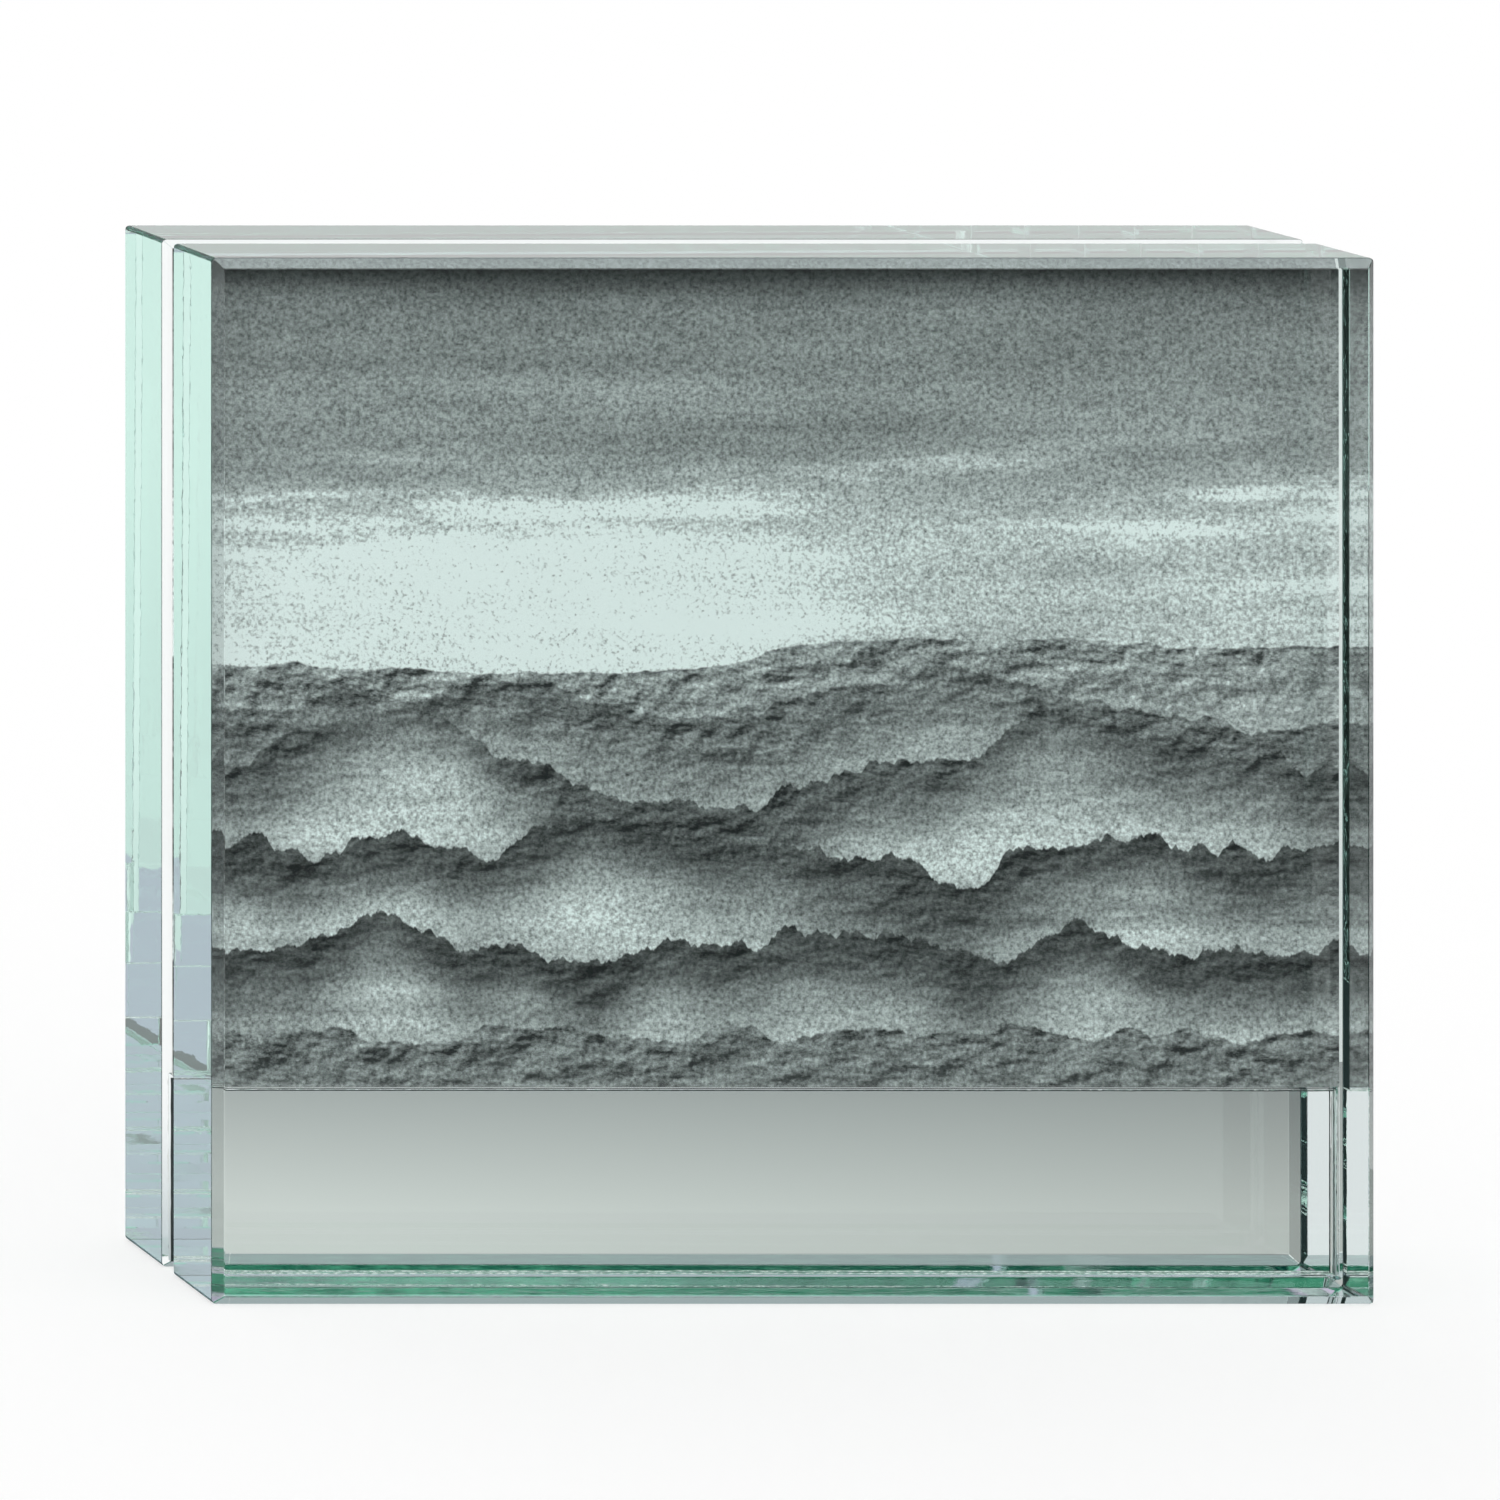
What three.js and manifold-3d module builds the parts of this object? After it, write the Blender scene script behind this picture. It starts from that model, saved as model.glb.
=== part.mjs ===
// Glass picture frame: two thick clear plates, held apart along the bottom by a bonded strip.
// The thin slot above the strip is open at the top and at both sides, and a photo print stands in it.
// Units are millimetres. X runs along the frame, Y from the front to the back, and Z points up.
// The origin is in the middle of the footprint, on the surface that the frame stands on.

import * as THREE from 'three';
import { mergeVertices } from 'three/addons/utils/BufferGeometryUtils.js';
import Module from 'manifold-3d';

const wasm = await Module();
wasm.setup();

// Print: a photograph of the 13 x 18 cm format, trimmed at its ends, standing on the spacer strip.
const printWidth = 179;
const printHeight = 130;
const printThickness = 0.25;
const printClearance = 0.3; // air between the print and the front plate

// Plates: two equal pieces of thick float glass, cut to the print, with ground and polished edges.
const plateThickness = 19;
const plateEndMargin = 0.5; // each plate reaches this far past the print at both ends
const plateTopMargin = 1; // and this far above it
const chamfer = 1.5; // 45 degree chamfer round both large faces
const cornerRadius = 0.8; // rounding of the four edges that run from front to back
const cornerSteps = 5; // chords in each rounded edge

// Spacer: a clear strip that stands between the plates, level with the end of their bottom chamfer.
const spacerHeight = 29.5;
const spacerThickness = 2;

// Adhesive: a clear film on each face of the strip, held back a little from the strip's outline.
const adhesiveThickness = 0.1;
const adhesiveEdgeInset = 0.3;

// Sizes and places that follow: the strip is as long as the print, and the plates enclose both.
const slotWidth = spacerThickness + 2 * adhesiveThickness;
const plateWidth = printWidth + 2 * plateEndMargin;
const plateHeight = chamfer + spacerHeight + printHeight + plateTopMargin;
const frontPlateY = -(slotWidth + plateThickness) / 2;
const backPlateY = (slotWidth + plateThickness) / 2;
const spacerWidth = printWidth;
const spacerBottomZ = chamfer;
const spacerTopZ = spacerBottomZ + spacerHeight;
const spacerMiddleZ = (spacerBottomZ + spacerTopZ) / 2;
const adhesiveOffsetY = (spacerThickness + adhesiveThickness) / 2;
const printY = -slotWidth / 2 + printClearance + printThickness / 2;

const clearGlass = { color: 0xd6ece4, roughness: 0.04, metalness: 0, transparent: true, opacity: 0.35 };
const clearAdhesive = { color: 0xdfe6e2, roughness: 0.2, metalness: 0, transparent: true, opacity: 0.5 };
const photoPaper = { color: 0x6d7573, roughness: 0.4, metalness: 0 };

// A closed geometry as a solid that can be cut and joined.
function toSolid(geometry) {
  const bare = geometry.clone();
  bare.deleteAttribute('normal');
  bare.deleteAttribute('uv');
  const merged = mergeVertices(bare);
  const vertProperties = new Float32Array(merged.attributes.position.array);
  const triVerts = new Uint32Array(merged.index.array);
  return new wasm.Manifold(new wasm.Mesh({ numProp: 3, vertProperties, triVerts }));
}

// The surface of a solid, with the flat shading of cut and ground faces.
function toGeometry(solid) {
  const mesh = solid.getMesh();
  const shared = new THREE.BufferGeometry();
  shared.setAttribute('position', new THREE.BufferAttribute(mesh.vertProperties, 3));
  shared.setIndex(new THREE.BufferAttribute(mesh.triVerts, 1));
  const geometry = shared.toNonIndexed();
  geometry.computeVertexNormals();
  return geometry;
}

function rectangle(width, height) {
  const shape = new THREE.Shape();
  shape.moveTo(-width / 2, -height / 2);
  shape.lineTo(width / 2, -height / 2);
  shape.lineTo(width / 2, height / 2);
  shape.lineTo(-width / 2, height / 2);
  shape.closePath();
  return shape;
}

function roundedRectangle(width, height, radius) {
  const x = width / 2 - radius;
  const y = height / 2 - radius;
  const shape = new THREE.Shape();
  shape.absarc(x, -y, radius, -Math.PI / 2, 0);
  shape.absarc(x, y, radius, 0, Math.PI / 2);
  shape.absarc(-x, y, radius, Math.PI / 2, Math.PI);
  shape.absarc(-x, -y, radius, Math.PI, 1.5 * Math.PI);
  shape.closePath();
  return shape;
}

// One plate, centred on the origin: a slab with mitred chamfers round both large faces, cut by a
// prism whose four long edges are rounded. The prism passes through the slab from front to back.
function plateGeometry() {
  const chamferedSlab = new THREE.ExtrudeGeometry(rectangle(plateWidth, plateHeight), {
    depth: plateThickness - 2 * chamfer,
    bevelThickness: chamfer,
    bevelSize: chamfer,
    bevelOffset: -chamfer,
    bevelSegments: 1,
  });
  chamferedSlab.translate(0, 0, chamfer - plateThickness / 2);

  const prismLength = 2 * plateThickness;
  const roundedPrism = new THREE.ExtrudeGeometry(roundedRectangle(plateWidth, plateHeight, cornerRadius), {
    depth: prismLength,
    bevelEnabled: false,
    curveSegments: cornerSteps,
  });
  roundedPrism.translate(0, 0, -prismLength / 2);

  const geometry = toGeometry(toSolid(chamferedSlab).intersect(toSolid(roundedPrism)));
  geometry.rotateX(Math.PI / 2);
  return geometry;
}

function piece(name, geometry, finish, y, z) {
  const mesh = new THREE.Mesh(geometry, new THREE.MeshStandardMaterial(finish));
  mesh.name = name;
  mesh.position.set(0, y, z);
  return mesh;
}

function plate(name, y) {
  return piece(name, plateGeometry(), clearGlass, y, plateHeight / 2);
}

function spacerStrip() {
  const geometry = new THREE.BoxGeometry(spacerWidth, spacerThickness, spacerHeight);
  return piece('spacer_strip', geometry, clearGlass, 0, spacerMiddleZ);
}

function adhesiveFilm(name, side) {
  const width = spacerWidth - 2 * adhesiveEdgeInset;
  const height = spacerHeight - 2 * adhesiveEdgeInset;
  const geometry = new THREE.BoxGeometry(width, adhesiveThickness, height);
  return piece(name, geometry, clearAdhesive, side * adhesiveOffsetY, spacerMiddleZ);
}

function photoPrint() {
  const geometry = new THREE.BoxGeometry(printWidth, printThickness, printHeight);
  return piece('photo_print', geometry, photoPaper, printY, spacerTopZ + printHeight / 2);
}

const pictureFrame = new THREE.Group();
pictureFrame.add(
  plate('front_plate', frontPlateY),
  plate('back_plate', backPlateY),
  spacerStrip(),
  adhesiveFilm('front_adhesive', -1),
  adhesiveFilm('back_adhesive', 1),
  photoPrint(),
);

export default pictureFrame;
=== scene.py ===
from math import cos, pi, sin

import bmesh
import bpy
from mathutils import Matrix, Vector, noise


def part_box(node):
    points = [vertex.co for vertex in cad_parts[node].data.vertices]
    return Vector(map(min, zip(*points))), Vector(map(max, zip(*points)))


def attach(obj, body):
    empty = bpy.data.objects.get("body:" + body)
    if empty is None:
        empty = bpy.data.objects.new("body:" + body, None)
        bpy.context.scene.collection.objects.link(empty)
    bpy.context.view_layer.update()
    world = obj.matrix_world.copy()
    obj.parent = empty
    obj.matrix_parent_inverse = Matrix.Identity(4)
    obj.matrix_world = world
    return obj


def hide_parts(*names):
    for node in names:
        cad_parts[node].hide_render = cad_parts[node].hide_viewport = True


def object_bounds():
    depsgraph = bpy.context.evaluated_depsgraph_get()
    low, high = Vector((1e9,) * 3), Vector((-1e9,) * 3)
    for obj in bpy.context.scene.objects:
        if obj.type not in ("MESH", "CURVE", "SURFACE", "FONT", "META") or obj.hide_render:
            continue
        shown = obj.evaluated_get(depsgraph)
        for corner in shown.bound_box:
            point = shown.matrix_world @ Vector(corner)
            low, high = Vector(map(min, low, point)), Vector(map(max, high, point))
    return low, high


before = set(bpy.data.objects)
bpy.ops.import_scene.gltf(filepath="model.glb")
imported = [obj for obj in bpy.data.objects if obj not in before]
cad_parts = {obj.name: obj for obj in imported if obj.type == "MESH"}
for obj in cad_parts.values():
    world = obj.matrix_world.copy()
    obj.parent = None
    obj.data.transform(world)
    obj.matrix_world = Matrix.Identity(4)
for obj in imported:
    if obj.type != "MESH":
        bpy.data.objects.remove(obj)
cad_low, cad_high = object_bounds()
scene = bpy.context.scene
scene.view_settings.view_transform = "Standard"

# Camera: a view camera, whose back stands parallel to the frame's front while its lens looks down and
# across from the left. So the front face keeps its true rectangle and the depth edges run together.
LENS_PLACE = Vector((-0.5237, cad_low.y - 1.1706, 0.3250))
LENS_SLANT = Vector((0.4412, 1, -0.2041))
BACK_TO_LENS_PX = 7570
PHOTO_SIDE_PX = 1500
SENSOR_WIDTH = 36
NEAREST, FARTHEST = 0.05, 50

camera = bpy.data.objects.new("camera", bpy.data.cameras.new("camera"))
scene.collection.objects.link(camera)
scene.camera = camera
camera.data.sensor_width = SENSOR_WIDTH
camera.data.lens = camera.data.sensor_width * BACK_TO_LENS_PX * LENS_SLANT.length / PHOTO_SIDE_PX
camera.data.clip_start = NEAREST
camera.data.clip_end = FARTHEST
tripod = bpy.data.objects.new("tripod", None)
scene.collection.objects.link(tripod)
camera.parent = tripod
right, up, back = Vector((1, 0, 0)), Vector((0, 0, 1)), -LENS_SLANT.normalized()
camera.matrix_parent_inverse = Matrix(
    [(right[i], up[i], back[i], LENS_PLACE[i]) for i in range(3)] + [(0, 0, 0, 1)]
)

# Light paths: a ray inside the thick glass is mirrored many times before it leaves, and it goes straight
# on through bonded places. With fewer bounces such rays would end in black.
GLASS_BOUNCES = 96
STRAIGHT_PASSES = 64
scene.cycles.max_bounces = GLASS_BOUNCES
scene.cycles.glossy_bounces = GLASS_BOUNCES
scene.cycles.transmission_bounces = GLASS_BOUNCES
scene.cycles.transparent_max_bounces = STRAIGHT_PASSES

# Studio: a white tent. Matt things are lit by the tent alone. What shows through the clear glass is a
# dimmer room: grey straight behind, lavender after mirroring in the glass, mint high up at the back, and
# dark to the left.
MM = 0.001


class Value:
    """One output of a shader node, with the arithmetic that the materials below use."""

    def __init__(self, nodes, socket):
        self.nodes = nodes
        self.socket = socket

    def maths(self, operation, *others, clamp=False):
        settings = {"operation": operation, "use_clamp": clamp}
        return self.nodes.add("ShaderNodeMath", settings, dict(enumerate((self, *others))))

    def held(self):
        """The same value, held between 0 and 1."""
        return self.maths("ADD", 0.0, clamp=True)

    def either(self, other):
        """1 where this mask or the other one is 1."""
        return self.maths("MAXIMUM", other)

    def size(self):
        return self.maths("ABSOLUTE")

    def part(self, axis):
        return self.nodes.add("ShaderNodeSeparateXYZ", {}, {0: self}, axis)

    def ramp(self, start, end):
        """0 at start and 1 at end, with a soft passage between them."""
        settings = {"interpolation_type": "SMOOTHSTEP"}
        inputs = {"Value": self, "From Min": start, "From Max": end}
        return self.nodes.add("ShaderNodeMapRange", settings, inputs)

    def __add__(self, other):
        return self.maths("ADD", other)

    def __sub__(self, other):
        return self.maths("SUBTRACT", other)

    def __rsub__(self, other):
        return self.maths("MULTIPLY_ADD", -1.0, other)

    def __mul__(self, other):
        return self.maths("MULTIPLY", other)

    def __truediv__(self, other):
        return self.maths("DIVIDE", other)

    def __gt__(self, other):
        return self.maths("GREATER_THAN", other)

    def __lt__(self, other):
        return self.maths("LESS_THAN", other)

    __radd__ = __add__
    __rmul__ = __mul__


class Nodes:
    """The node tree of one material or world, filled node by node."""

    def __init__(self, owner):
        owner.use_nodes = True
        self.tree = owner.node_tree
        self.tree.nodes.clear()

    def add(self, kind, settings=None, inputs=None, output=0):
        node = self.tree.nodes.new(kind)
        for name, setting in (settings or {}).items():
            setattr(node, name, setting)
        for name, value in (inputs or {}).items():
            if isinstance(value, Value):
                self.tree.links.new(value.socket, node.inputs[name])
            else:
                node.inputs[name].default_value = value
        return Value(self, node.outputs[output]) if node.outputs else None

    def blend(self, share, first, second):
        """The first colour where the share is 0, the second where it is 1."""
        return self.add("ShaderNodeMix", {"data_type": "RGBA"}, {0: share, 6: first, 7: second}, 2)

    def met(self, kind, more_than=0):
        """1 for a ray that was mirrored, refracted or scattered more often than this."""
        return self.add("ShaderNodeLightPath", output=kind + " Depth") > more_than + 0.5

    def place(self):
        """Where on the piece a point lies, in metres."""
        return self.add("ShaderNodeTexCoord", output="Object")

    def facing(self):
        """The way a surface faces, as a vector of length 1."""
        return self.add("ShaderNodeNewGeometry", output="True Normal")

    def grain(self, place, fineness, detail=2.0, stretch=(1, 1, 1), roughness=0.6):
        """Noise around 0.5, with about so many features in a metre."""
        spread = self.add("ShaderNodeVectorMath", {"operation": "MULTIPLY"}, {0: place, 1: stretch})
        inputs = {"Vector": spread, "Scale": fineness, "Detail": detail, "Roughness": roughness}
        return self.add("ShaderNodeTexNoise", {}, inputs)


WHITE = (1, 1, 1, 1)
DARK = (0.012, 0.015, 0.014, 1)
DIM = (0.30, 0.30, 0.36, 1)
ROOM_BEHIND = (0.40, 0.46, 0.47, 1)
ROOM_MIRRORED = (0.57, 0.52, 0.66, 1)
ROOM_LEFT = (0.62, 0.68, 0.70, 1)
MINT = (0.30, 0.66, 0.54, 1)
# Parts of a ray's direction, between which one colour of the room passes into the next.
HIGH_UP = (0.41, 0.45)
FAR_BACK = (0.38, 0.46)
TO_THE_LEFT = (-0.2, -0.45)
# White paper behind a plate shows about half of its tone, so the light that reaches it is stronger.
LIT_THROUGH_GLASS = (1.6, 1.6, 1.6, 1)


def left_side(nodes, seen_straight):
    """Dark after a few mirrorings in the glass, and white for what has run through a plate twice."""
    several = nodes.blend(nodes.met("Glossy", 6), DARK, DIM)
    shown = nodes.blend(nodes.met("Glossy", 1), seen_straight, several)
    return nodes.blend(nodes.met("Glossy", 12), shown, WHITE)


def studio_world():
    world = bpy.data.worlds.new("studio")
    nodes = Nodes(world)
    through_glass = nodes.met("Transmission")
    mirrored = nodes.met("Glossy")
    direction = nodes.add("ShaderNodeTexCoord", output="Generated")
    high_back = direction.part("Z").ramp(*HIGH_UP) * direction.part("Y").ramp(*FAR_BACK)
    leftwards = direction.part("X").ramp(*TO_THE_LEFT)
    room = nodes.blend(mirrored, ROOM_BEHIND, ROOM_MIRRORED)
    room = nodes.blend(mirrored * high_back, room, MINT)
    room = nodes.blend(leftwards, room, left_side(nodes, ROOM_LEFT))
    light = nodes.blend(through_glass, WHITE, LIT_THROUGH_GLASS)
    tent = nodes.blend(through_glass * (1 - nodes.met("Diffuse")), light, room)
    glow = nodes.add("ShaderNodeBackground", {}, {"Color": tent, "Strength": 1.0})
    nodes.add("ShaderNodeOutputWorld", {}, {"Surface": glow})
    return world


scene.world = studio_world()

# Table: a white top that looks white whatever lies on it, apart from the frame's soft shadow. Seen through
# the glass it carries painted shade, a little greyer next to the frame's right end.
TABLE_HALF = 12
TABLE_Z = -0.05 * MM
SHADOW_SHARE = 0.4
SHADE_NEAR_END = (0.80, 0.83, 0.83, 1)
GREYER_TO_WHITE = (130 * MM, 360 * MM)


def link_piece(name, mesh, material):
    piece = bpy.data.objects.new(name, mesh)
    scene.collection.objects.link(piece)
    mesh.materials.append(material)
    return piece


def stage_sheet(name, corners, shader):
    """A flat four-sided sheet of the studio."""
    material = bpy.data.materials.new(name)
    material.cycles.emission_sampling = "NONE"
    nodes = Nodes(material)
    nodes.add("ShaderNodeOutputMaterial", {}, {"Surface": shader(nodes)})
    mesh = bpy.data.meshes.new(name)
    mesh.from_pydata(corners, [], [(0, 1, 2, 3)])
    sheet = link_piece(name, mesh, material)
    return sheet


def level_sheet(x_from, x_to, y_from, y_to, z):
    return (x_from, y_from, z), (x_to, y_from, z), (x_to, y_to, z), (x_from, y_to, z)


# Painted shade: greyer near the frame's right end, passing into white further to the right.
def white_to_the_right(nodes):
    return nodes.blend(nodes.place().part("X").ramp(*GREYER_TO_WHITE), SHADE_NEAR_END, WHITE)


def white_table(nodes):
    seen = nodes.add("ShaderNodeLightPath", output="Is Camera Ray")
    refracted = nodes.add("ShaderNodeLightPath", output="Is Transmission Ray")
    paint = nodes.add("ShaderNodeBsdfDiffuse", {}, {"Color": WHITE})
    colour = nodes.blend(refracted, WHITE, white_to_the_right(nodes))
    white = nodes.add("ShaderNodeEmission", {}, {"Color": colour, "Strength": 1.0})
    return nodes.add("ShaderNodeMixShader", {}, {0: seen * SHADOW_SHARE, 1: white, 2: paint})


table = level_sheet(-TABLE_HALF, TABLE_HALF, -TABLE_HALF, TABLE_HALF, TABLE_Z)
stage_sheet("floor", table, white_table)

# Cards: flat sheets of coloured board round the frame, which only the clear glass shows. Three lie a hair
# above the table: grey under the frame, with a painted shadow of the print and a painted contact shadow,
# black to its left, and one in front.
CARD_Z = -0.02 * MM
FRONT_CARD_Z = -0.03 * MM
PRINT_SHADOW_NEAR = (0.66, 0.68, 0.66, 1)
PRINT_SHADOW_FAR = (0.376, 0.395, 0.395, 1)
GREY_MIRRORED_ONCE = (0.83, 0.845, 0.86, 1)
LAVENDER = (0.56, 0.50, 0.65, 1)
CONTACT_SHADOW = (0.05, 0.06, 0.06, 1)
FADE_START, FADE_LENGTH = cad_high.y + 32 * MM, 95 * MM
DARKER_START, DARKER_LENGTH, DARKER_SHARE = -55 * MM, 185 * MM, 0.24
CONTACT_REACH = 4 * MM
CONTACT_WOBBLE, CONTACT_FINENESS = 3 * MM, 200.0
RIGHT_END = cad_high.x - 2 * MM


def show_only_in_glass(card, reflected=False):
    """A card shows in light that comes through the glass, and if asked also in light off its outside."""
    card.visible_camera = False
    card.visible_diffuse = False
    card.visible_shadow = False
    card.visible_transmission = True
    card.visible_glossy = reflected


def card_light(nodes, colour):
    """The card's colour, but strong white light for something matt, such as the print."""
    shown = nodes.blend(nodes.met("Diffuse"), colour, LIT_THROUGH_GLASS)
    return nodes.add("ShaderNodeEmission", {}, {"Color": shown, "Strength": 1.0})


def painted_shadow_card(nodes):
    """Painted shadow: seen straight it darkens backwards and to the right, with a painted contact shadow
    at the frame's end.
    """
    place = nodes.place()
    across, depth = place.part("X"), place.part("Y")
    backwards = ((depth - FADE_START) / FADE_LENGTH).held()
    rightwards = ((across - DARKER_START) / DARKER_LENGTH).held()
    # Painted shadow of the print behind the frame, and painted shade that grows to the right.
    direct = nodes.blend(backwards, PRINT_SHADOW_NEAR, PRINT_SHADOW_FAR)
    direct = nodes.blend(rightwards * DARKER_SHARE, direct, DARK)
    once = nodes.blend(nodes.met("Glossy"), direct, GREY_MIRRORED_ONCE)
    uneven = (nodes.grain(place, CONTACT_FINENESS) - 0.5) * CONTACT_WOBBLE
    # Painted contact shadow beside the frame's right end, with an uneven edge.
    contact_shadow = (across + uneven < cad_high.x + CONTACT_REACH) * (depth < cad_high.y + CONTACT_REACH)
    beside = nodes.blend(contact_shadow, LAVENDER, CONTACT_SHADOW)
    often = nodes.blend(nodes.met("Glossy", 3) * (across > RIGHT_END), DARK, beside)
    return card_light(nodes, nodes.blend(nodes.met("Glossy", 1), once, often))


def black_card(nodes):
    return card_light(nodes, left_side(nodes, DARK))


def front_card(nodes):
    """Black for one mirroring, by the front of the glass or by its far side, and else white."""
    once = nodes.met("Glossy") * (1 - nodes.met("Glossy", 1))
    return card_light(nodes, nodes.blend(once, white_to_the_right(nodes), DARK))


under = level_sheet(
    x_from=cad_low.x + 10 * MM,
    x_to=cad_high.x + 75 * MM,
    y_from=cad_low.y - 115 * MM,
    y_to=cad_high.y + 127 * MM,
    z=CARD_Z,
)
show_only_in_glass(stage_sheet("card_under", under, painted_shadow_card))
left = level_sheet(
    x_from=cad_low.x - 1450 * MM,
    x_to=cad_low.x - 2 * MM,
    y_from=-600 * MM,
    y_to=130 * MM,
    z=CARD_Z,
)
show_only_in_glass(stage_sheet("card_left", left, black_card))
front = level_sheet(
    x_from=cad_low.x - 1 * MM,
    x_to=cad_high.x + 660 * MM,
    y_from=cad_low.y - 1300 * MM,
    y_to=cad_high.y + 3 * MM,
    z=FRONT_CARD_Z,
)
show_only_in_glass(stage_sheet("card_front", front, front_card), reflected=True)

# White chip: a narrow upright card behind the left end. It stands edge-on to the rays of the lower panel,
# so that only the slot's bright stripe shows it.
CHIP_X, CHIP_BEHIND = -78.2 * MM, 0.2 * MM
CHIP_SLANT = Vector((0.372, 1, 0))
CHIP_LENGTH = 4 * MM
CHIP_HEIGHT = 60 * MM


def white_card(nodes):
    return card_light(nodes, WHITE)


chip_start = Vector((CHIP_X, cad_high.y + CHIP_BEHIND, 0))
chip_end = chip_start + CHIP_SLANT * CHIP_LENGTH
chip_rise = Vector((0, 0, CHIP_HEIGHT))
chip = [tuple(corner) for corner in (chip_start, chip_end, chip_end + chip_rise, chip_start + chip_rise)]
show_only_in_glass(stage_sheet("card_behind_end", chip, white_card))

# Green card: a mottled sheet that hangs close above the top, a painted reflection of the glass's green
# glow whose pale specks are painted glints. It has a dark teal band, which the back plate's lower edge
# shows, and it is grey along its rear edge.
MOTTLE_GRAIN, MOTTLE_EDGE = (900.0, 4.0, (0.3, 1, 1)), (0.42, 0.57)
MOTTLE_DARK = (0.015, 0.20, 0.12, 1)
MOTTLE_PALE = (0.20, 0.66, 0.44, 1)
MOTTLE_END = (0.01, 0.02, 0.02, 1)
MOTTLE_END_REACH, MOTTLE_END_SHARE = (0, 60 * MM), 0.45
TEAL = (0.0, 0.035, 0.030, 1)
TEAL_FROM, TEAL_TO = 6.5 * MM, 10.5 * MM
REAR_GREY = (0.30, 0.34, 0.34, 1)
REAR_GREY_FROM = 14.8 * MM
ABOVE_TOP = 4 * MM
ABOVE_MARGIN = 6 * MM


def green_card(nodes):
    place = nodes.place()
    depth = place.part("Y")
    # Painted glints: pale specks in the green.
    painted_glint = nodes.grain(place, *MOTTLE_GRAIN).ramp(*MOTTLE_EDGE)
    mottle = nodes.blend(painted_glint, MOTTLE_DARK, MOTTLE_PALE)
    towards_end = place.part("X").ramp(*MOTTLE_END_REACH) * MOTTLE_END_SHARE
    mottle = nodes.blend(towards_end, mottle, MOTTLE_END)
    band = (depth > TEAL_FROM) * (depth < TEAL_TO)
    shown = nodes.blend(band, mottle, TEAL)
    return card_light(nodes, nodes.blend(depth > REAR_GREY_FROM, shown, REAR_GREY))


above = level_sheet(
    x_from=cad_low.x,
    x_to=cad_high.x,
    y_from=cad_low.y - ABOVE_MARGIN,
    y_to=cad_high.y + ABOVE_MARGIN,
    z=cad_high.z + ABOVE_TOP,
)
show_only_in_glass(stage_sheet("card_above", above, green_card))

# Plates: two slabs of extra-clear float glass, cut, mitred round both large faces, then ground and
# polished. The grinding leaves faint waves on the edges, and a haze on chamfers, arrises and corners.
# The haze is darkened with painted shade on front-facing arrises, corners and end bevels.
CHAMFER = 1.5 * MM
CORNER_RADIUS = 0.8 * MM
CORNER_STEPS = 8
ARRIS = 0.10 * MM
SAME_PLANE = 0.01
SHARP_EDGE = pi / 9
GLASS_IOR = 1.52
# How strongly the glass absorbs red, green and blue light, per metre.
ABSORPTION = (2.2, 0.6, 1.05)
DENSITY = 3.0
GRINDING_WAVES = (160.0, 3.0, (0.25, 1, 1))
GRINDING_MARKS = (1200.0, 3.0, (0.15, 1, 1))
GRINDING_STRENGTH, GRINDING_HEIGHT = 0.05, 0.2 * MM
# Limits for how far a surface faces along an axis, which is 1 when flat, 0.7 for a mitre, 0.38 for an
# arris and 0 edge-on.
FLAT, MITRED = 0.9, 0.5
ARRIS_LEAST, ARRIS_MOST = 0.3, 0.45
EDGE_ON, ROUNDED = 0.1, 0.15
NOT_BELOW = -0.3
FOOT_HEIGHT = 2 * MM
OUTER_DEPTH = 15 * MM
STRIP_DEPTH = 1.2 * MM
# The haze of each ground surface: its colours, the heights between which they change, and its share.
# The dark colour is painted shade; the sawn and slot colours are painted shade towards the bottom, and the
# slot's near-white is a painted reflection.
GROUND = (0.62, 0.72, 0.72, 1)
SHADED = (0.02, 0.04, 0.04, 1)
SAWN_LOW, SAWN_HIGH = (0.40, 0.46, 0.47, 1), (0.88, 0.93, 0.93, 1)
SAWN_HEIGHTS = (-5 * MM, 28 * MM)
SLOT_LOW, SLOT_HIGH = (0.56, 0.64, 0.66, 1), (0.98, 1, 1, 1)
SLOT_HEIGHTS = (-2 * MM, 30 * MM)
BEVEL_HAZE = 0.3
ARRIS_HAZE = 0.75
CORNER_HAZE = 0.6
END_BEVEL_HAZE, END_BEVEL_MORE_IN_FRONT = 0.12, 0.18
SLOT_BEVEL_HAZE, SLOT_BEVEL_MORE_AT_SIDE = 0.6, 0.42
# Where the adhesive joins the glass: its inset from the strip's outline, and how uneven its edge is.
FILM_INSET = 0.3 * MM
FILM_REACH = 3 * MM
FILM_WOBBLE, FILM_FINENESS = 0.5 * MM, 350.0

strip_low, strip_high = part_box("spacer_strip")


def bonded(nodes, place):
    """1 where the adhesive joins a glass face to its neighbour, so that light passes straight on."""
    wobble = (nodes.grain(place, FILM_FINENESS) - 0.5) * FILM_WOBBLE
    x, y, z = [place.part(axis) for axis in "XYZ"]
    across = x.size() + wobble < strip_high.x - FILM_INSET
    near = y.size() < FILM_REACH
    over = z - wobble > strip_low.z + FILM_INSET
    under = z + wobble < strip_high.z - FILM_INSET
    return across * near * over * under


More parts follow.
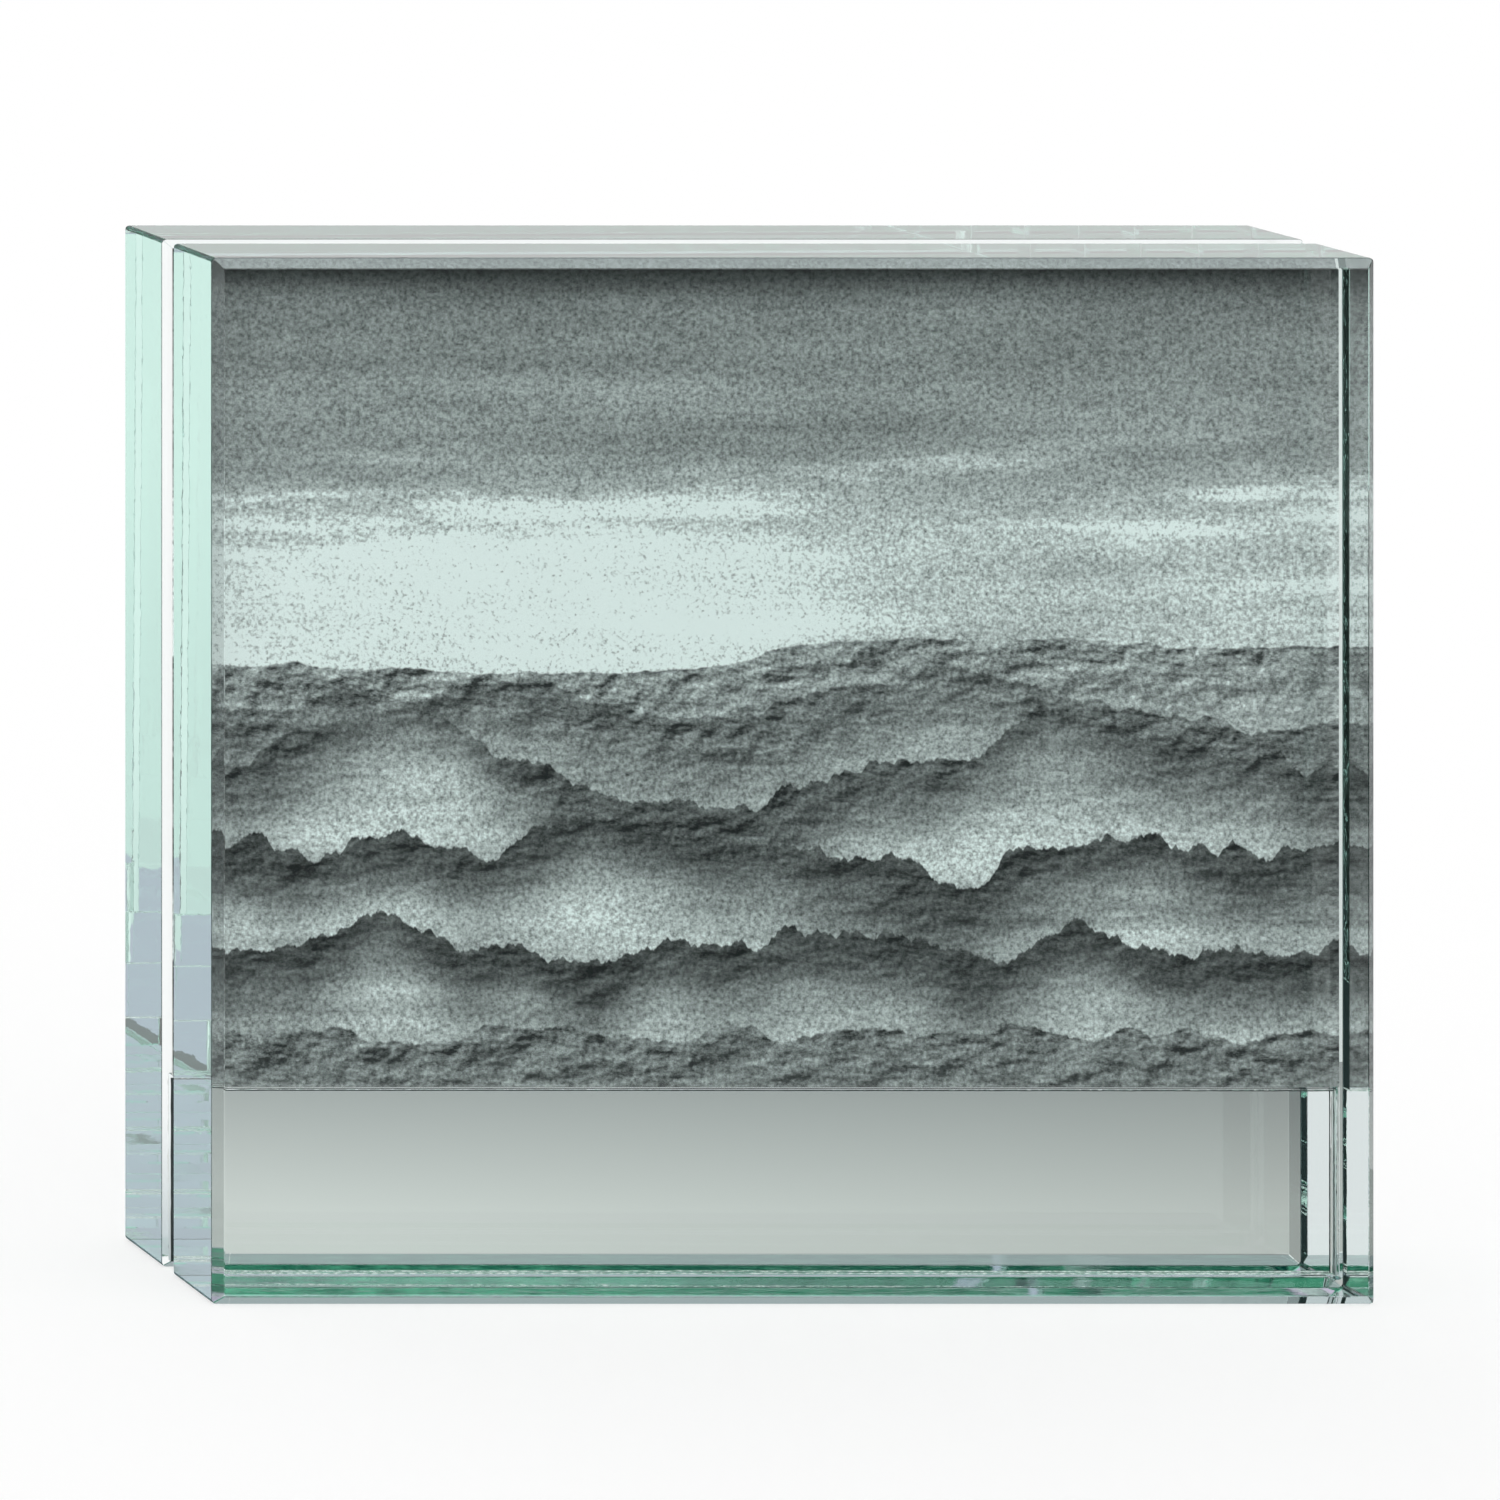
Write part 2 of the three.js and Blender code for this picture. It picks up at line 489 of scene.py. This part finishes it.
def glass_material():
    material = bpy.data.materials.new("extra_clear_glass")
    nodes = Nodes(material)
    place, facing = nodes.place(), nodes.facing()
    from_middle = place.part("Y").size()
    high = place.part("Z")
    at_foot = high < FOOT_HEIGHT
    side, front, top = [facing.part(axis).size() for axis in "XYZ"]
    towards_front = facing.part("Y") < 0
    straight_on = 1 - nodes.met("Glossy")

    # Grinding: waves along the edges, with finer marks at the foot.
    height = nodes.grain(place, *GRINDING_WAVES) + nodes.grain(place, *GRINDING_MARKS) * at_foot
    strength = (front < FLAT) * GRINDING_STRENGTH
    bump = nodes.add(
        "ShaderNodeBump", {}, {"Strength": strength, "Distance": GRINDING_HEIGHT, "Height": height}
    )

    # Ground surfaces, told apart by the way they face and by where they lie.
    mitred = front > MITRED
    bevels = mitred * (top > MITRED) * (1 - at_foot)
    end_bevels = mitred * (side > MITRED) * (from_middle > OUTER_DEPTH) * straight_on
    leftward = (side > MITRED) * (facing.part("X") < 0) * (place.part("X") < 0)
    upward = facing.part("Z") > MITRED
    slot_bevels = mitred * (from_middle < OUTER_DEPTH) * towards_front * (1 - at_foot)
    slot_bevels = slot_bevels * leftward.either(upward)
    arrises = (front > ARRIS_LEAST) * (front < ARRIS_MOST) * (facing.part("Z") > NOT_BELOW)
    corners = (front < EDGE_ON) * (side > ROUNDED) * (top > ROUNDED)
    sawn = (side > FLAT) * (from_middle < STRIP_DEPTH)

    # Painted shade: front-facing arrises and corners seen straight on, and the end bevels, take the dark
    # colour for the dark look that refraction gives them.
    shaded = (arrises * towards_front + corners) * straight_on + end_bevels
    tint = nodes.blend(shaded.held(), GROUND, SHADED)
    # Painted shade on the sawn ends: darker towards the bottom.
    tint = nodes.blend(sawn, tint, nodes.blend(high.ramp(*SAWN_HEIGHTS), SAWN_LOW, SAWN_HIGH))
    # Painted reflection on the slot bevels: near-white, with painted shade darker towards the bottom.
    tint = nodes.blend(slot_bevels, tint, nodes.blend(high.ramp(*SLOT_HEIGHTS), SLOT_LOW, SLOT_HIGH))
    share = bevels * BEVEL_HAZE + arrises * ARRIS_HAZE + corners * CORNER_HAZE + sawn
    share = share + end_bevels * (towards_front * END_BEVEL_MORE_IN_FRONT + END_BEVEL_HAZE)
    share = share + slot_bevels * (side * SLOT_BEVEL_MORE_AT_SIDE + SLOT_BEVEL_HAZE)

    body = nodes.add(
        "ShaderNodeBsdfPrincipled",
        {},
        {
            "Base Color": WHITE,
            "Roughness": 0.0,
            "IOR": GLASS_IOR,
            "Transmission Weight": 1.0,
            "Normal": bump,
        },
    )
    haze = nodes.add(
        "ShaderNodeBsdfPrincipled",
        {},
        {"Base Color": tint, "Roughness": 1.0, "Specular IOR Level": 0.0, "Normal": bump},
    )
    worn = nodes.add("ShaderNodeMixShader", {}, {0: share.held(), 1: body, 2: haze})
    straight = nodes.add("ShaderNodeBsdfTransparent")
    surface = nodes.add("ShaderNodeMixShader", {}, {0: bonded(nodes, place), 1: worn, 2: straight})
    inside = nodes.add(
        "ShaderNodeVolumeAbsorption",
        {},
        {"Color": tuple(1 - taken / DENSITY for taken in ABSORPTION) + (1,), "Density": DENSITY},
    )
    nodes.add("ShaderNodeOutputMaterial", {}, {"Surface": surface, "Volume": inside})
    return material


glass = glass_material()


def plate_mesh(name):
    """The slab in the place of its node: mitred chamfers, rounded corners and fine arrises."""
    low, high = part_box(name)
    centre, half = (low + high) / 2, (high - low) / 2
    mesh_maker = bmesh.new()
    points = []
    for side_x in (-1, 1):
        for side_z in (-1, 1):
            for side_y in (-1, 1):
                inner = Vector((half.x - CHAMFER, half.y, half.z - CHAMFER))
                points.append(Vector((side_x * inner.x, side_y * inner.y, side_z * inner.z)))
                for step in range(CORNER_STEPS + 1):
                    turn = step / CORNER_STEPS * pi / 2
                    x = half.x - CORNER_RADIUS * (1 - cos(turn))
                    z = half.z - CORNER_RADIUS * (1 - sin(turn))
                    depth = max(CHAMFER - (half.x - x), CHAMFER - (half.z - z))
                    points.append(Vector((side_x * x, side_y * (half.y - depth), side_z * z)))
    for point in points:
        mesh_maker.verts.new(centre + point)
    bmesh.ops.convex_hull(mesh_maker, input=mesh_maker.verts)
    bmesh.ops.dissolve_limit(
        mesh_maker, angle_limit=SAME_PLANE, verts=mesh_maker.verts, edges=mesh_maker.edges
    )
    sharp = [edge for edge in mesh_maker.edges if edge.calc_face_angle(0) > SHARP_EDGE]
    bmesh.ops.bevel(
        mesh_maker, geom=sharp, offset=ARRIS, segments=1, affect="EDGES", profile=0.5, clamp_overlap=True
    )
    mesh = bpy.data.meshes.new(name + "_glass")
    mesh_maker.to_mesh(mesh)
    mesh_maker.free()
    return mesh


for name in ("front_plate", "back_plate"):
    plate = link_piece(name + "_glass", plate_mesh(name), glass)
    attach(plate, "glass_body")
    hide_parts(name)

# Spacer strip: a sawn and ground strip of the same clear glass, bonded between the plates along the
# bottom. It carries the print.
STRIP_ARRIS = 0.12 * MM


def strip_mesh():
    mesh_maker = bmesh.new()
    bmesh.ops.create_cube(mesh_maker, size=1)
    for vert in mesh_maker.verts:
        vert.co = (strip_low + strip_high) / 2 + vert.co * (strip_high - strip_low)
    bmesh.ops.bevel(
        mesh_maker, geom=mesh_maker.edges, offset=STRIP_ARRIS, segments=2, affect="EDGES", profile=0.5
    )
    mesh = bpy.data.meshes.new("spacer_strip_glass")
    mesh_maker.to_mesh(mesh)
    mesh_maker.free()
    return mesh


strip = link_piece("spacer_strip_glass", strip_mesh(), glass)
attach(strip, "glass_body")
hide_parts("spacer_strip")

# Adhesive films: clear adhesive cured by light, one film on each side of the strip. Each is invisible in
# its middle and ends in a thin uneven bead, whose dark line seen straight on is painted shade and whose
# pale glints and bright dashes are painted highlights. At the left end the front one has run out as a dark
# seam.
FILM_THICKNESS_SHARE = 0.8
OUTLINE_STEP = 1.5 * MM
OUTLINE_WOBBLE, OUTLINE_FINENESS = 0.18 * MM, 400
FILMS_DIFFER = 9000
SEAM_REACH = 0.74 * MM
SEAM_WIDTH = 0.2 * MM
LINE_FROM, LINE_TO = 0.10 * MM, 0.26 * MM
LOWER_BEAD = 0.25 * MM
BEAD_WOBBLE, BEAD_FINENESS = 0.1 * MM, 500.0
DASH_FINENESS, DASH_LEVEL = 1400.0, 0.52
RIM_FACING = 0.5
GLINT_GRAIN, GLINT_EDGE = (2000.0, 3.0, (0.5, 1, 1)), (0.40, 0.62)
BEAD_DARK = (0.02, 0.03, 0.03, 1)
BEAD_GREY, BEAD_PALE = (0.42, 0.55, 0.50, 1), (0.95, 1.0, 0.98, 1)


def film_mesh(name):
    low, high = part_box(name)
    left_x = low.x - (SEAM_REACH if low.y < 0 else 0)
    middle_y = (low.y + high.y) / 2
    half_y = (high.y - low.y) / 2 * FILM_THICKNESS_SHARE
    corners = [(left_x, low.z), (high.x, low.z), (high.x, high.z), (left_x, high.z)]
    own_noise = Vector((0, low.y * FILMS_DIFFER, 0))
    outline = []
    for (x, z), (next_x, next_z) in zip(corners, corners[1:] + corners[:1]):
        length = abs(next_x - x) + abs(next_z - z)
        steps = round(length / OUTLINE_STEP)
        for step in range(steps):
            share = step / steps
            point = Vector((x + (next_x - x) * share, 0, z + (next_z - z) * share))
            inwards = Vector((-point.x, 0, (low.z + high.z) / 2 - point.z)).normalized()
            uneven = 0.5 + 0.5 * noise.noise(point * OUTLINE_FINENESS + own_noise)
            outline.append(point + inwards * (OUTLINE_WOBBLE * uneven))
    mesh_maker = bmesh.new()
    rings = []
    for y in (middle_y - half_y, middle_y + half_y):
        rings.append([mesh_maker.verts.new((point.x, y, point.z)) for point in outline])
    front, back = rings
    mesh_maker.faces.new(front)
    mesh_maker.faces.new(back[::-1])
    for index in range(len(outline)):
        following = (index + 1) % len(outline)
        mesh_maker.faces.new((front[following], front[index], back[index], back[following]))
    bmesh.ops.recalc_face_normals(mesh_maker, faces=mesh_maker.faces)
    mesh = bpy.data.meshes.new(name + "_film")
    mesh_maker.to_mesh(mesh)
    mesh_maker.free()
    return mesh


def film_material():
    material = bpy.data.materials.new("cured_adhesive")
    nodes = Nodes(material)
    place = nodes.place()
    uneven = (nodes.grain(place, BEAD_FINENESS) - 0.5) * BEAD_WOBBLE
    from_right = strip_high.x - FILM_INSET - place.part("X")
    from_top = strip_high.z - FILM_INSET - place.part("Z")
    from_bottom = place.part("Z") - (strip_low.z + FILM_INSET)
    edge = from_right.maths("MINIMUM", from_top) + uneven
    line = (edge > LINE_FROM) * (edge < LINE_TO)
    dashes = (edge < LINE_FROM) * (nodes.grain(place, DASH_FINENESS) > DASH_LEVEL)
    lower = from_bottom + uneven * 2 < LOWER_BEAD
    rim = nodes.facing().part("Y").size() < RIM_FACING
    seam = place.part("X") < strip_low.x + SEAM_WIDTH
    bead = line.either(dashes).either(lower).either(rim).either(seam)

    # Painted shade: the bead's line is dark only where seen straight on; the seam is dark itself.
    dark = (line * (1 - nodes.met("Glossy"))).either(seam)
    # Painted highlight: pale glints on the bead, its rim and its dashes.
    pale = nodes.blend(nodes.grain(place, *GLINT_GRAIN).ramp(*GLINT_EDGE), BEAD_GREY, BEAD_PALE)
    tone = nodes.blend(dark, pale, BEAD_DARK)
    skin = nodes.add(
        "ShaderNodeBsdfPrincipled", {}, {"Base Color": tone, "Roughness": 0.3, "IOR": 1.48}
    )
    clear = nodes.add("ShaderNodeBsdfTransparent")
    surface = nodes.add("ShaderNodeMixShader", {}, {0: bead, 1: clear, 2: skin})
    nodes.add("ShaderNodeOutputMaterial", {}, {"Surface": surface})
    return material


adhesive = film_material()
for name in ("front_adhesive", "back_adhesive"):
    film = link_piece(name + "_film", film_mesh(name), adhesive)
    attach(film, "glass_body")
    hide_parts(name)

# Print: a loose sheet of photo paper with a black and white landscape of hills in mist. It stands on the
# strip and bows a little, as a sheet in a slot does.
SHEET_STEPS = 48
SHEET_BOW = 0.12 * MM
sheet_low, sheet_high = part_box("photo_print")


def print_mesh():
    """The sheet as two skins with a rim, bowed a little towards the back plate in the middle."""
    mesh_maker = bmesh.new()
    skins = []
    for y in (sheet_low.y, sheet_high.y):
        rows = []
        for row in range(SHEET_STEPS + 1):
            v = row / SHEET_STEPS
            line = []
            for column in range(SHEET_STEPS + 1):
                u = column / SHEET_STEPS
                bow = SHEET_BOW * sin(pi * u) * sin(pi * v)
                point = (
                    sheet_low.x + u * (sheet_high.x - sheet_low.x),
                    y + bow,
                    sheet_low.z + v * (sheet_high.z - sheet_low.z),
                )
                line.append(mesh_maker.verts.new(point))
            rows.append(line)
        skins.append(rows)
    front, back = skins
    last = SHEET_STEPS
    for row in range(last):
        for column in range(last):
            for rows, turned in ((front, False), (back, True)):
                lower, upper = rows[row], rows[row + 1]
                loop = [lower[column], lower[column + 1], upper[column + 1], upper[column]]
                mesh_maker.faces.new(loop[::-1] if turned else loop)
    rims = (
        [(row, 0) for row in range(last, -1, -1)],
        [(0, column) for column in range(last + 1)],
        [(row, last) for row in range(last + 1)],
        [(last, column) for column in range(last, -1, -1)],
    )
    for rim in rims:
        for (row, column), (next_row, next_column) in zip(rim, rim[1:]):
            mesh_maker.faces.new(
                (
                    front[next_row][next_column],
                    front[row][column],
                    back[row][column],
                    back[next_row][next_column],
                )
            )
    bmesh.ops.recalc_face_normals(mesh_maker, faces=mesh_maker.faces)
    mesh = bpy.data.meshes.new("landscape_print")
    mesh_maker.to_mesh(mesh)
    mesh_maker.free()
    return mesh


# Each range of hills: how high its crest lies, how much it swings, how fine its outline is, its tone on
# the slope, and the tone of the mist at its foot.
HILLS = (
    (0.52, 0.08, 8.0, 0.30, 0.66),
    (0.46, 0.12, 13.0, 0.17, 0.62),
    (0.39, 0.14, 17.0, 0.11, 0.78),
    (0.29, 0.13, 23.0, 0.085, 0.90),
    (0.17, 0.10, 30.0, 0.075, 0.80),
    (0.065, 0.035, 55.0, 0.20, 0.28),
)
RANGE_SPACING = 7.3
CRAGGY, SMOOTH = 7.0, 1.0
OUTLINE_ROUGHNESS = 0.58
CREST_EDGE = (-0.001, 0.002)
MIST_DEPTH = (0.01, 0.15)
MIST_CONTRAST, MIST_GAPS = 2.4, 0.5
SLOPE_GRAIN = (150.0, 9.0, (0.8, 1, 1.5))
SLOPE_SHIFT = (0.5 * MM, 0, -0.5 * MM)
SLOPE_CONTRAST, DARKEST_SLOPE = 11.0, 0.12
# The sky, darkest at the top: the heights, as shares of the sheet, between which it gains each tone.
SKY_DARKEST = 0.012
SKY_TONES = ((0.995, 0.925, 0.255), (0.93, 0.80, 0.07), (0.78, 0.64, 0.40))
CLOUD_GRAIN = (130.0, 7.0, (0.11, 1, 1))
CLOUD_CONTRAST = 1.4
BRIGHT_CLOUDS, BRIGHT_HEIGHTS, BRIGHT_TONE = (0.50, 0.62), (0.80, 0.68), 0.42
GLOW_X, GLOW_HALF_WIDTH = -34 * MM, 62 * MM
GLOW_HEIGHT, GLOW_HALF_HEIGHT = 0.57, 0.13
GLOW_TONE = 0.45
SILVER_FINENESS, SILVER_CONTRAST = 1900.0, 2.6
PICTURE_BLACK, PICTURE_WHITE = (0.008, 0.010, 0.010, 1), (0.90, 0.98, 0.97, 1)
FIBRE_FINENESS = 1500.0
PAPER_DARK, PAPER_PALE = (0.80, 0.80, 0.78, 1), (0.90, 0.90, 0.88, 1)
TOOTH_FINENESS = 3000.0
TOOTH_STRENGTH, TOOTH_HEIGHT = 0.1, 0.02 * MM
FRONT_SKIN = -0.5


def sky_tone(across, height, clouds):
    """Bands of cloud under a dark top edge, with a glow low on the left."""
    tone = SKY_DARKEST
    for start, end, gain in SKY_TONES:
        tone = height.ramp(start, end) * gain + tone
    tone = tone * ((clouds - 0.5) * CLOUD_CONTRAST + 1.0)
    tone = tone + clouds.ramp(*BRIGHT_CLOUDS) * height.ramp(*BRIGHT_HEIGHTS) * BRIGHT_TONE
    sideways = (across - GLOW_X) / GLOW_HALF_WIDTH
    upwards = (height - GLOW_HEIGHT) / GLOW_HALF_HEIGHT
    return tone + (sideways * sideways + upwards * upwards).ramp(1.0, 0.0) * GLOW_TONE


def slope_tone(nodes, place):
    """Rough ground lit from one side: its noise, less the same noise a little further on."""
    shifted = nodes.add("ShaderNodeVectorMath", {"operation": "ADD"}, {0: place, 1: SLOPE_SHIFT})
    relief = nodes.grain(place, *SLOPE_GRAIN) - nodes.grain(shifted, *SLOPE_GRAIN)
    return (relief * SLOPE_CONTRAST + 1.0).maths("MAXIMUM", DARKEST_SLOPE)


def crest_swing(nodes, along, detail):
    """How far a crest lies above or below its middle, from -0.5 to 0.5."""
    inputs = {"W": along, "Scale": 1.0, "Detail": detail, "Roughness": OUTLINE_ROUGHNESS}
    return nodes.add("ShaderNodeTexNoise", {"noise_dimensions": "1D"}, inputs) - 0.5


def paper_material():
    material = bpy.data.materials.new("photo_paper")
    nodes = Nodes(material)
    place = nodes.place()
    across = place.part("X")
    height = (place.part("Z") - sheet_low.z) / (sheet_high.z - sheet_low.z)
    clouds = nodes.grain(place, *CLOUD_GRAIN)
    tone = sky_tone(across, height, clouds)
    slopes = slope_tone(nodes, place)
    for order, (crest, swing, fineness, on_slope, in_mist) in enumerate(HILLS):
        along = across * fineness + order * RANGE_SPACING
        below = crest_swing(nodes, along, CRAGGY) * (2 * swing) + crest - height
        deep = crest_swing(nodes, along, SMOOTH) * (2 * swing) + crest - height
        mist = deep.ramp(*MIST_DEPTH) * (clouds * MIST_CONTRAST - MIST_GAPS).held()
        hill = slopes * on_slope * (1 - mist) + mist * in_mist
        tone = nodes.add("ShaderNodeMix", {}, {0: below.ramp(*CREST_EDGE), 2: tone, 3: hill})
    silver = (nodes.grain(place, SILVER_FINENESS) - 0.5) * SILVER_CONTRAST
    picture = nodes.blend((tone * (silver + 1.0)).held(), PICTURE_BLACK, PICTURE_WHITE)
    fibres = nodes.blend(nodes.grain(place, FIBRE_FINENESS), PAPER_DARK, PAPER_PALE)
    colour = nodes.blend(nodes.facing().part("Y") < FRONT_SKIN, fibres, picture)
    tooth = nodes.add(
        "ShaderNodeBump",
        {},
        {
            "Strength": TOOTH_STRENGTH,
            "Distance": TOOTH_HEIGHT,
            "Height": nodes.grain(place, TOOTH_FINENESS),
        },
    )
    body = nodes.add(
        "ShaderNodeBsdfPrincipled",
        {},
        {"Base Color": colour, "Roughness": 0.5, "Specular IOR Level": 0.15, "Normal": tooth},
    )
    nodes.add("ShaderNodeOutputMaterial", {}, {"Surface": body})
    return material


landscape = link_piece("landscape_print", print_mesh(), paper_material())
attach(landscape, "print")
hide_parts("photo_print")
